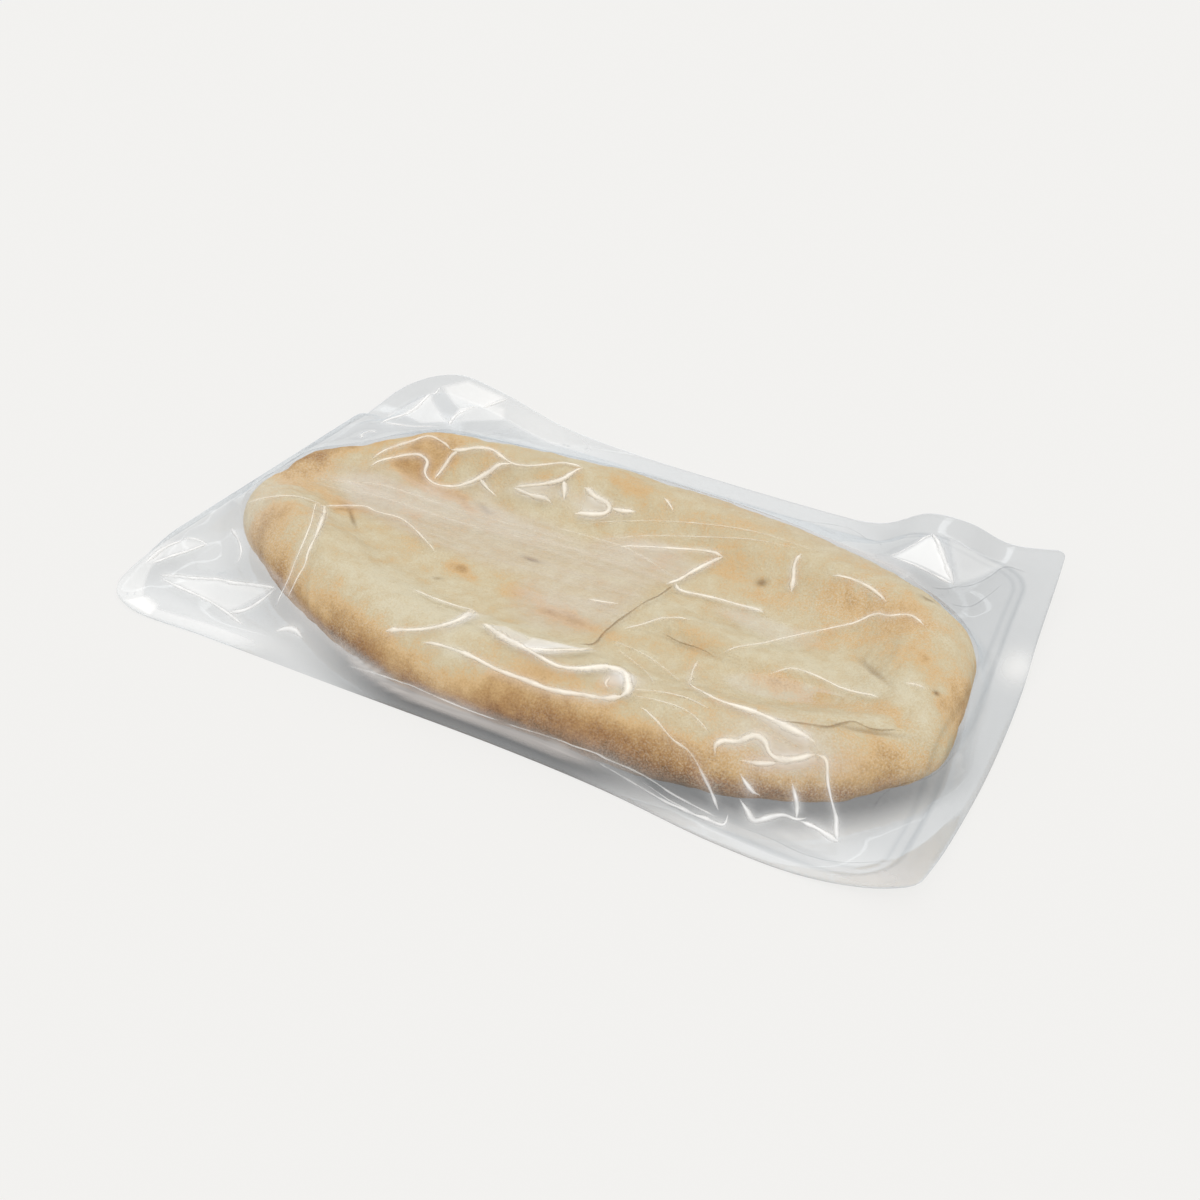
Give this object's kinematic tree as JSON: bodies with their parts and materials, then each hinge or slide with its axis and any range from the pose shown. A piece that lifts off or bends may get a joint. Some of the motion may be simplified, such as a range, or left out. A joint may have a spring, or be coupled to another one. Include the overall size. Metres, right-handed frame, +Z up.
{
  "type": "vacuum-packed pinsa base",
  "caption": "Par-baked pinsa flatbread, a long oval with a puffy rim and dimpled middle, vacuum-packed in a clear film pouch with flat sealed margins.",
  "frame": {"origin": "on the table under the middle of the pouch", "axes": "+X along the pouch, +Y across it away from the viewer, +Z up"},
  "size_m": [0.3818, 0.2296, 0.0289],
  "materials": {
    "film": "clear glossy vacuum film drawn over pale crust",
    "crust": "matte par-baked crust, cream with golden patches, dusted with flour"
  },
  "bodies": {
    "root": {"pouch": "film"}
  },
  "joints": []
}
